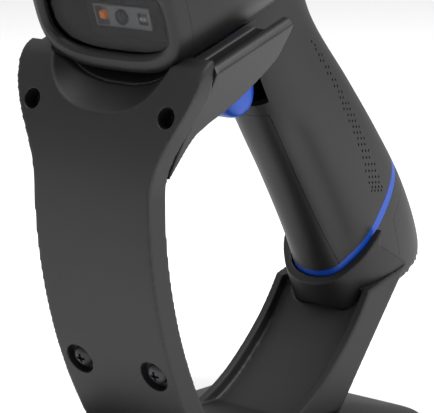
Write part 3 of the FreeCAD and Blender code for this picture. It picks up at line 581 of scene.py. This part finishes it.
DOOR_FRONT_Y = 107.0
DOOR_TOP = -RING_HALF - 6.5
under_ring = (on_ring_axis(-RING_HALF - SEAM), ring_up)
end_cap = scanner_piece("end_cap_moulding", [under_ring, ((0, DOOR_FRONT_Y - SEAM, 0), rear_way)])
cap_collar = scanner_piece("cap_collar", [
    under_ring, ((0, DOOR_FRONT_Y - SEAM, 0), nose_way), (on_ring_axis(DOOR_TOP + SEAM), -ring_up),
])
join_meshes(end_cap, [cap_collar])
finish_piece(end_cap, "end_cap", scanner_abs)
battery_door = scanner_piece("battery_door_moulding", [
    ((0, DOOR_FRONT_Y, 0), nose_way), (on_ring_axis(DOOR_TOP), ring_up),
])
finish_piece(battery_door, "battery_door", scanner_abs)

# ---------------------------------------------------------------------------
# Light pipe: a small frosted bar pressed into the slot of the top cover.
# Blasting on its outer face makes it milky instead of clear.

status_light = scanner_piece("status_light_pipe", [((0, 0, LIGHT_FLOOR_Z), down_way)])
light_bar = box_outline(66.0, 71.0, LIGHT_FLOOR_Z, TOOL_TOP_Z)
carve(status_light, docked_prism("light_tool", light_bar, "x", -8.0, 8.0), "INTERSECT")
frosted = moulded_plastic("frosted_polycarbonate_light_pipe", "8F969A", "A4ABAE", 0.4, 0.4, 0.1)
finish_piece(status_light, "status_light", frosted)

# ---------------------------------------------------------------------------
# Nose: a bezel of black polycarbonate with a wide rounded mouth, a thin rubber
# gasket in it, and a pane of smoke-tinted acrylic set back from the rim.

WINDOW_HALF_WIDTH = 28.5
WINDOW_MIDDLE_Z = 21.75
WINDOW_HALF_HEIGHT = 14.25


def window_ring(grow, y):
    pairs = oval_ring(WINDOW_HALF_WIDTH + grow, WINDOW_HALF_HEIGHT + grow, 3.0, 96)
    return [(a, y, WINDOW_MIDDLE_Z + b) for a, b in pairs]


def window_form(name, stations):
    """A form across the nose through rings of the window's outline."""
    form = mesh_object(name, *skin([window_ring(grow, y) for grow, y in stations]))
    form.data.transform(dock)
    return form


nose_bezel = scanner_piece("nose_bezel_moulding", [((0, BEZEL_DEPTH, 0), rear_way)])
carve(nose_bezel, window_form("mouth_tool", [(2.4, -4.0), (1.6, 0.0), (0.5, 0.8), (0.0, 2.2), (0.0, 12.0)]))
finish_piece(nose_bezel, "nose_bezel", scanner_abs)
# Moulded silicone: a dry, dull skin with hardly any highlight.
silicone = moulded_plastic("black_silicone_moulded", "1C1C1D", "222223", 0.75, 0.5, 0.4)
window_gasket = window_form("window_gasket_rubber", [(2.3, 2.7), (2.3, 3.1)])
carve(window_gasket, window_form("gasket_bore", [(0.1, 0.0), (0.1, 9.0)]))
finish_piece(window_gasket, "window_gasket", silicone)
acrylic = moulded_plastic("smoke_tinted_hard_coated_acrylic", "050506", "070708", 0.06, 2.0, 0.0)
acrylic.node_tree.nodes["Principled BSDF"].inputs["Alpha"].default_value = 0.35
scan_window = window_form("scan_window_pane", [(2.2, 3.25), (2.35, 3.4), (2.35, 4.6), (2.2, 4.75)])
finish_piece(scan_window, "scan_window", acrylic)

# ---------------------------------------------------------------------------
# Imaging engine: a small bead-blasted aluminium block behind the window with a
# coated lens in its middle, an amber aiming lamp on one side and two white
# lamps on the other, held by a black nylon bracket.

ENGINE_Z = 17.6
ENGINE_FRONT_Y = 9.4


def rounded_block(name, x_range, y_range, z_range, radius):
    """A block with small rounded edges, in the scanner's frame."""
    outline = box_outline(*y_range, *z_range)
    block = prism(name, outline, "x", *x_range)
    edge = block.modifiers.new("edge", "BEVEL")
    edge.width = radius * MM
    edge.segments = 3
    settle(block)
    block.data.transform(dock)
    return block


def turned(name, radius, profile_rings, centre, direction, count=40):
    """A turned form: (share of the radius, distance) pairs swept round an axis."""
    axis = Vector(direction).normalized()
    side = axis.orthogonal().normalized()
    other = axis.cross(side)
    rings = []
    for share, along in profile_rings:
        ring = []
        for step in range(count):
            angle = 2 * math.pi * step / count
            spoke = side * math.cos(angle) + other * math.sin(angle)
            ring.append(Vector(centre) + axis * along + spoke * (radius * share))
        rings.append(ring)
    return mesh_object(name, *skin(rings))


def engine_turned(name, radius, stations, x, y):
    """A turned piece on an axis that looks out of the nose."""
    form = turned(name, radius, stations, (x, y, ENGINE_Z), (0, 1, 0), 32)
    form.data.transform(dock)
    return form


def bare_metal(name, dark, light, roughness, grain_mm, bump, metallic=1.0):
    """Bare or plated metal: the same grain as a moulding, with a metal's own colour."""
    material = moulded_plastic(name, dark, light, roughness, grain_mm, bump)
    shader = material.node_tree.nodes["Principled BSDF"]
    shader.inputs["Metallic"].default_value = metallic
    shader.inputs["IOR"].default_value = 1.5
    shader.inputs["Specular IOR Level"].default_value = 0.5
    return material


cast_aluminium = bare_metal("cast_aluminium_bead_blasted", "8E9094", "A6A8AC", 0.42, 0.2, 0.4, 0.6)
black_nylon = moulded_plastic("black_glass_filled_nylon", "0C0C0D", "131314", 0.6, 0.25, 0.5)
imager_engine = rounded_block("imager_engine_block", (-13.2, 13.2), (9.5, 21.3), (13.3, 21.9), 0.5)
carve(imager_engine, rounded_block("aimer_pocket", (-12.3, -6.4), (5.0, 12.6), (14.2, 21.0), 0.4))
carve(imager_engine, engine_turned("lens_pocket", 2.95, [(1, -3.0), (1, 5.0)], 0.0, ENGINE_FRONT_Y))
carve(imager_engine, rounded_block("lamp_pocket", (7.6, 11.9), (5.0, 11.0), (15.4, 19.8), 0.4))
finish_piece(imager_engine, "imager_engine", cast_aluminium)
lens_coat = moulded_plastic("coated_lens_glass", "22262E", "3A414C", 0.12, 1.2, 0.0)
lens_coat.node_tree.nodes["Principled BSDF"].inputs["Coat Weight"].default_value = 1.0
imager_lens = engine_turned("imager_lens_barrel", 2.8, [
    (0.12, -0.1), (0.3, -0.25), (0.42, -0.1), (0.5, 0.25), (0.72, 0.1), (0.78, -0.5), (0.94, -0.7),
    (1.0, -0.5), (1.0, 4.6),
], 0.0, ENGINE_FRONT_Y)
finish_piece(imager_lens, "imager_lens", lens_coat)
amber = moulded_plastic("amber_epoxy_lamp", "D06A14", "F2A040", 0.3, 0.8, 0.3)
amber.node_tree.nodes["Principled BSDF"].inputs["Emission Color"].default_value = srgb("E07818")
amber.node_tree.nodes["Principled BSDF"].inputs["Emission Strength"].default_value = 0.35
aimer_led = rounded_block("aimer_lamp", (-10.6, -8.0), (9.2, 11.2), (16.2, 19.0), 0.35)
finish_piece(aimer_led, "aimer_led", amber)
milky = moulded_plastic("milky_silicone_lamp", "D8D6CC", "F2F1EA", 0.25, 0.8, 0.1)
lamp_dome = [(0.2, -0.3), (0.7, -0.1), (1, 0.3), (1, 1.4)]
lamps, second_lamp = [engine_turned(name, 0.85, lamp_dome, x, ENGINE_FRONT_Y)
                      for name, x in (("white_lamps", 8.9), ("white_lamp_two", 10.6))]
join_meshes(lamps, [second_lamp])
finish_piece(lamps, "illumination_led", milky)
bracket = rounded_block("engine_bracket_frame", (-17.7, 17.7), (10.5, 25.2), (9.1, 26.9), 0.6)
carve(bracket, rounded_block("engine_bay", (-13.4, 13.4), (0.0, 21.5), (13.1, 22.1), 0.2))
finish_piece(bracket, "engine_bracket", black_nylon)

# ---------------------------------------------------------------------------
# Trigger: a hollow blue ABS moulding with a soft saddle, hinged on a steel pin
# inside the head. Its finger pushes the button of a small switch.

trigger_levels = through([
    # height, front, rear, half width
    (6.0, 49.0, 60.4, 9.3), (0.0, 40.2, 60.4, 9.4), (-14.0, 38.8, 60.4, 9.4), (-26.0, 39.6, 60.3, 9.4),
    (-31.0, 41.2, 59.6, 9.3), (-35.0, 43.0, 57.6, 8.9), (-37.6, 45.6, 54.8, 7.6), (-38.4, 48.6, 52.4, 5.2),
], 42)
trigger_rings = []
for z, front, rear, half_width in trigger_levels:
    half_b = (rear - front) / 2
    ring = []
    for a, b in oval_ring(half_width, half_b, 3.4, 64):
        saddle = 0.9 * math.exp(-(a / 3.4) ** 2) if b < 0 else 0.0
        ring.append((a, (front + rear) / 2 + b + saddle * min(max((z + 38.0) / 10.0, 0), 1), z))
    trigger_rings.append(ring)
trigger = mesh_object("trigger_moulding", *skin(trigger_rings))
trigger.data.transform(dock)
carve(trigger, rounded_block("trigger_core", (-7.3, 7.3), (44.0, 90.0), (-35.0, 1.0), 0.8))
finish_piece(trigger, "trigger", blue_abs)

for form in (outer_form, inner_form):
    bpy.data.objects.remove(form)

# ---------------------------------------------------------------------------
# Front blade: the broad curved column that carries the head. It is one thick
# ABS moulding, narrow below and spreading to two ears, scooped under the nose,
# and screwed to the riser by two low screws and to the cradle through the ears.

BLADE_FRONT_Y = -76.6
BLADE_WAIST_Z = 109.0
BLADE_LOWER_RADIUS = 180.0
BLADE_UPPER_RADIUS = 98.0
BLADE_THICKNESS = 8.8
BLADE_HALF_WIDTH = 27.4
EAR_HALF_WIDTH = 43.0
EAR_START_Z = 108.0
EAR_FULL_Z = 153.0
BLADE_REAR_TOP_Z = 143.4
LOW_SCREW_X = 17.9
LOW_SCREW_Z = 43.1
EAR_SCREW_X = 31.6
EAR_SCREW_Z = 137.1
SEAT_GAP = 0.5
CROWN_Z = 9.0
EDGE_ROUNDS = 5
FAR = 120.0


def soften(piece, voxel, rounds):
    """Rounds every edge a little, as a moulding's edges are."""
    remesh = piece.modifiers.new("skin", "REMESH")
    remesh.mode = "VOXEL"
    remesh.voxel_size = voxel * MM
    blend = piece.modifiers.new("round", "SMOOTH")
    blend.factor = 0.5
    blend.iterations = rounds
    return settle(piece)


def blade_line(depth, bottom_z, top_z, count):
    """The blade's side line at a depth behind its front, from the foot to the ears."""
    line = []
    for step in range(count + 1):
        z = bottom_z + (top_z - bottom_z) * step / count
        radius = BLADE_LOWER_RADIUS if z < BLADE_WAIST_Z else BLADE_UPPER_RADIUS
        reach = math.sqrt((radius - depth) ** 2 - (z - BLADE_WAIST_Z) ** 2)
        line.append((BLADE_FRONT_Y + radius - reach, z))
    return line


def ear_half_width(z):
    share = min(max((z - EAR_START_Z) / (EAR_FULL_Z - EAR_START_Z), 0), 1)
    return BLADE_HALF_WIDTH + (EAR_HALF_WIDTH - BLADE_HALF_WIDTH) * math.sin(math.pi / 2 * share) ** 2


def scoop_form(name, grow):
    """The bib-shaped hollow that runs down and forward from under the nose."""
    fall = 50.0 * math.tan(math.radians(36.0))
    rings = []
    for y, drop in ((-54.0, 0.0), (-104.0, fall)):
        rings.append([(a, y, 179.5 - drop + b) for a, b in oval_ring(31.0 + grow, 30.0 + grow, 2.6, 96)])
    return mesh_object(name, *skin(rings))


def head_seat(name, grow):
    """The docked head, grown by the seating gap, with which seats are cut."""
    seat = mesh_object(name, *skin(head_rings(grow, NOSE_ROUND)))
    seat.data.transform(dock)
    return seat


ear_round = through([(-67.6, 149.8), (-65.8, 152.7), (-63.3, 155.1), (-60.6, 156.6)], 12)
blade_side = blade_line(0.0, CROWN_Z, 146.6, 60) + [tuple(pair) for pair in ear_round]
blade_side += list(reversed(blade_line(BLADE_THICKNESS, CROWN_Z, BLADE_REAR_TOP_Z, 60)))
front_blade = prism("front_blade_moulding", blade_side, "x", -60.0, 60.0)
heights = [CROWN_Z - 3] + [EAR_START_Z + 1.5 * step for step in range(31)] + [170.0]
blade_front = [(ear_half_width(z), z) for z in heights]
blade_front += [(-ear_half_width(z), z) for z in reversed(heights)]
carve(front_blade, prism("blade_front_view", blade_front, "y", -FAR, FAR), "INTERSECT")
carve(front_blade, scoop_form("scoop_tool", 0.0))
carve(front_blade, head_seat("seat_tool", SEAT_GAP))
soften(front_blade, 0.7, EDGE_ROUNDS)


low_turn = math.asin((BLADE_WAIST_Z - LOW_SCREW_Z) / BLADE_LOWER_RADIUS)
low_inward = Vector((0, math.cos(low_turn), math.sin(low_turn)))
low_face_y = BLADE_FRONT_Y + BLADE_LOWER_RADIUS * (1 - math.cos(low_turn))
ear_turn = math.asin((EAR_SCREW_Z - BLADE_WAIST_Z) / BLADE_UPPER_RADIUS)
ear_inward = Vector((0, math.cos(ear_turn), -math.sin(ear_turn)))
ear_face_y = BLADE_FRONT_Y + BLADE_UPPER_RADIUS * (1 - math.cos(ear_turn))
low_places = [Vector((side * LOW_SCREW_X, low_face_y, LOW_SCREW_Z)) for side in (-1, 1)]
ear_places = [Vector((side * EAR_SCREW_X, ear_face_y, EAR_SCREW_Z)) for side in (-1, 1)]
for place in low_places:
    carve(front_blade, turned("low_sink", 6.0, [(1, 3.1), (1, 0.25), (1.06, 0.0), (1.2, -0.4)],
                              place, low_inward))
for place in ear_places:
    carve(front_blade, turned("ear_sink", 3.7, [(1, 6.0), (1, 0.3), (1.08, 0.0), (1.3, -0.6)],
                              place, ear_inward))
finish_piece(front_blade, "front_blade", stand_abs)

# ---------------------------------------------------------------------------
# Blade screws: two black-oxide M4 pan heads with cross recesses, sunk in round
# pockets low on the column, and two smaller ones deep in the ear holes.

black_oxide = bare_metal("black_oxide_steel", "2A2A2C", "3A3A3D", 0.38, 0.3, 0.3, 0.8)


def pan_heads(name, node_name, places, direction, head_radius, head_height, seat, shank):
    """Screws with domed heads and cross recesses, joined as one piece."""
    joined = bmesh.new()
    for place in places:
        top = seat - head_height
        head = turned(name, head_radius, [
            (0.3, top + 0.02), (0.6, top + 0.12 * head_height), (0.88, top + 0.35 * head_height),
            (1.0, top + 0.62 * head_height), (1.0, seat), (shank[0] / head_radius, seat + 0.02),
            (shank[0] / head_radius, seat + shank[1]),
        ], place, direction)
        axis = Vector(direction).normalized()
        side = Vector((1.0, 0.0, 0.0))
        other = axis.cross(side)
        for turn in (0.0, math.pi / 2):
            along = side * math.cos(turn) + other * math.sin(turn)
            over = side * -math.sin(turn) + other * math.cos(turn)
            blade = []
            for depth, share in ((-0.6, 1.0), (head_height * 0.6, 0.62)):
                ring = []
                for a, b in ((1, 1), (-1, 1), (-1, -1), (1, -1)):
                    reach = a * head_radius * 0.56 * share
                    ring.append(Vector(place) + axis * (top + depth) + along * reach
                                + over * (b * head_radius * 0.13))
                blade.append(ring)
            carve(head, mesh_object("recess_tool", *skin(blade)))
        joined.from_mesh(head.data)
        bpy.data.objects.remove(head)
    mesh = bpy.data.meshes.new(name)
    joined.to_mesh(mesh)
    joined.free()
    heads = bpy.data.objects.new(name, mesh)
    bpy.context.scene.collection.objects.link(heads)
    finish_piece(heads, node_name, black_oxide)


pan_heads("blade_pan_heads", "blade_screws", low_places, low_inward, 4.0, 2.5, 2.75, (2.0, 5.5))
pan_heads("cradle_pan_heads", "cradle_screws", ear_places, ear_inward, 2.7, 1.7, 5.95, (1.5, 8.9))

# ---------------------------------------------------------------------------
# Cradle: the fork that the head rests in. Its two cheeks rise behind the ears,
# bevelled along the rim, sweep back beside the grip and leave a slot for it.

RIM_HALF_WIDTH = 44.1
RIM_Z = 5.55
FORK_SLOT_HALF = 21.0
GROOVE_INNER_X = 27.0
GROOVE_OUTER_X = RIM_HALF_WIDTH - 4.5
GROOVE_FLOOR_Z = 0.5
GROOVE_TOP_Z = 60.0
fork_end = through([(46.4, RIM_Z), (46.0, 2.0), (43.3, -3.3), (39.9, -8.2), (31.0, -12.2),
                    (19.0, -15.8), (3.0, -17.4), (-4.0, -20.0), (-14.0, -30.0)], 72)
cradle_side = [(-12.0, RIM_Z)] + [tuple(pair) for pair in fork_end]
cradle = prism("cradle_moulding", cradle_side, "x", -60.0, 60.0)
cheek = [(RIM_HALF_WIDTH - 1.3, RIM_Z), (RIM_HALF_WIDTH, RIM_Z - 2.4), (34.0, -16.5), (28.0, -31.0)]
cross = cheek + [(-x, z) for x, z in reversed(cheek)]
carve(cradle, prism("cheek_tool", cross, "y", -60.0, 140.0), "INTERSECT")
slot = [(FORK_SLOT_HALF, 14.0), (FORK_SLOT_HALF, 200.0),
        (-FORK_SLOT_HALF, 200.0), (-FORK_SLOT_HALF, 14.0)]
carve(cradle, prism("slot_tool", slot, "z", -80.0, 80.0))
for side in (-1, 1):
    groove = [(side * GROOVE_INNER_X, GROOVE_FLOOR_Z), (side * GROOVE_OUTER_X, GROOVE_FLOOR_Z),
              (side * GROOVE_OUTER_X, GROOVE_TOP_Z), (side * GROOVE_INNER_X, GROOVE_TOP_Z)]
    carve(cradle, prism("groove_tool", groove, "y", 0.0, 140.0))
cradle.data.transform(dock)
carve(cradle, head_seat("seat_tool", SEAT_GAP))
ahead = [(-140.0, CROWN_Z)] + blade_line(BLADE_THICKNESS + 0.1, CROWN_Z, BLADE_REAR_TOP_Z, 60)
ahead += [(-60.5, 156.6), (-60.5, 230.0), (-140.0, 230.0)]
carve(cradle, prism("blade_room_tool", ahead, "x", -70.0, 70.0))
carve(cradle, scoop_form("scoop_tool", 0.0))
soften(cradle, 0.5, EDGE_ROUNDS - 2)
finish_piece(cradle, "cradle", stand_abs)

# ---------------------------------------------------------------------------
# Rear arm and handle cup: a slanted trough of ABS that rises from the base and
# ends in an open cup, in which the foot of the grip stands.

ARM_HALF_WIDTH = 23.1
ARM_WALL = 3.5
CUP_WALL = 3.5
TROUGH_DEPTH = 4.5 / math.sqrt(2)
ring_point = dock @ (Vector(RING_MIDDLE) * MM) / MM
arm_top_front = (ring_point.y - 11.7, ring_point.z - 27.2)
arm_top_rear = (ring_point.y + 12.7, ring_point.z - 20.3)
arm_rise = [(-5.0, 10.6), (6.2, 12.2), (20.3, 19.5), (34.1, 30.8), (44.4, 41.7), arm_top_front]
arm_rim = [tuple(pair) for pair in through(arm_rise, 50)]
arm_side = [(-5.0, CROWN_Z)] + arm_rim + [arm_top_rear, (35.4, CROWN_Z)]
rear_arm = prism("rear_arm_moulding", arm_side, "x", -ARM_HALF_WIDTH, ARM_HALF_WIDTH)
trough = [(y + TROUGH_DEPTH, max(z - TROUGH_DEPTH, CROWN_Z + 1.2)) for y, z in arm_rim]
trough += [(20.0, 90.0), (-30.0, 90.0), (-30.0, CROWN_Z + 1.2)]
carve(rear_arm, prism("trough_tool", trough, "x", ARM_WALL - ARM_HALF_WIDTH, ARM_HALF_WIDTH - ARM_WALL))


def grip_form(name, grow):
    """The docked grip as a solid, grown or shrunk."""
    rings = [[(x, y, max(z, foot_height(y) - grow)) for x, y, z in ring] for ring in grip_rings(grow)]
    form = mesh_object(name, *skin(rings))
    form.data.transform(dock)
    return form


cup_side = [(-30.0, -20.0), (-24.0, -40.0), (-16.0, -44.0), (-6.5, -43.6), (12.7, -20.3),
            (-3.7, -10.9), (-3.7, 15.0), (-30.0, 15.0)]
cup_side = [(ring_point.y + y, ring_point.z + z) for y, z in cup_side]
handle_cup = grip_form("handle_cup_moulding", CUP_WALL)
carve(handle_cup, prism("cup_tool", cup_side, "x", -ARM_HALF_WIDTH, ARM_HALF_WIDTH), "INTERSECT")
trimmed = bmesh.new()
trimmed.from_mesh(handle_cup.data)
keep_side(trimmed, ring_point, Matrix.Rotation(DOCK_TILT, 3, "X") @ ring_up)
trimmed.to_mesh(handle_cup.data)
trimmed.free()
carve(rear_arm, grip_form("cup_room_tool", CUP_WALL))
carve(handle_cup, grip_form("grip_room_tool", SEAT_GAP))
soften(rear_arm, 0.6, EDGE_ROUNDS - 1)
soften(handle_cup, 0.45, EDGE_ROUNDS - 1)
finish_piece(rear_arm, "rear_arm", stand_abs)
finish_piece(handle_cup, "handle_cup", stand_abs)

# ---------------------------------------------------------------------------
# Weight and fixings of the stand: a zinc-plated steel plate under the cover, and
# the screws and bolts that hold base, riser and arm. They keep their turned form.


def dress(node_names, material):
    """Gives nodes that keep their machined shape their real finish."""
    for node_name in node_names:
        node = frame["nodes"][node_name]
        node.data.materials.clear()
        node.data.materials.append(material)


# Zinc plate: a cool grey metal with a soft, slightly clouded shine.
zinc_plate = bare_metal("zinc_plated_steel", "9C9EA2", "B4B6BA", 0.33, 0.4, 0.25)
dress(("base_weight", "base_screws", "stand_bolts", "housing_screws", "board_screws", "trigger_pin"),
      zinc_plate)
dress(("base_feet",), silicone)
dress(("blade_spine",), stand_abs)

# ---------------------------------------------------------------------------
# Presence magnet: a small nickel-plated disc in the cradle, pressed in from below.

# Nickel: a warm, nearly smooth mirror.
nickel = bare_metal("nickel_plated_magnet", "B0AFAA", "C4C3BE", 0.18, 0.6, 0.1)
dress(("presence_magnet",), nickel)

# ---------------------------------------------------------------------------
# Boards and switch: glass-epoxy boards under green solder mask, with a nylon
# switch, its milky button, and a black nylon beeper soldered on.

# Solder mask: deep green with the gloss of a cured lacquer.
solder_mask = moulded_plastic("green_solder_mask_on_glass_epoxy", "0E4A26", "14603A", 0.3, 0.8, 0.25)
dress(("main_board", "switch_board"), solder_mask)
dress(("beeper", "trigger_switch"), black_nylon)
dress(("switch_button",), milky)

# ---------------------------------------------------------------------------
# Trigger spring: hard-drawn steel wire coiled cold, behind the trigger.

# Drawn wire: bright, with fine marks from the die.
spring_wire = bare_metal("drawn_spring_wire", "8A8B8E", "A2A3A6", 0.25, 0.15, 0.2)
dress(("trigger_spring",), spring_wire)

# ---------------------------------------------------------------------------
# Battery: one round cell in a shrink sleeve, held between brass contacts.

# Shrunk sleeve: tight glossy film. Gold flash: a thin yellow plating over brass.
sleeve = moulded_plastic("blue_shrink_sleeve", "16305E", "1E3C70", 0.28, 1.0, 0.2)
dress(("battery",), sleeve)
gold_flash = bare_metal("gold_flashed_brass_strip", "B8923C", "D0AC58", 0.25, 0.4, 0.15)
dress(("battery_contacts",), gold_flash)
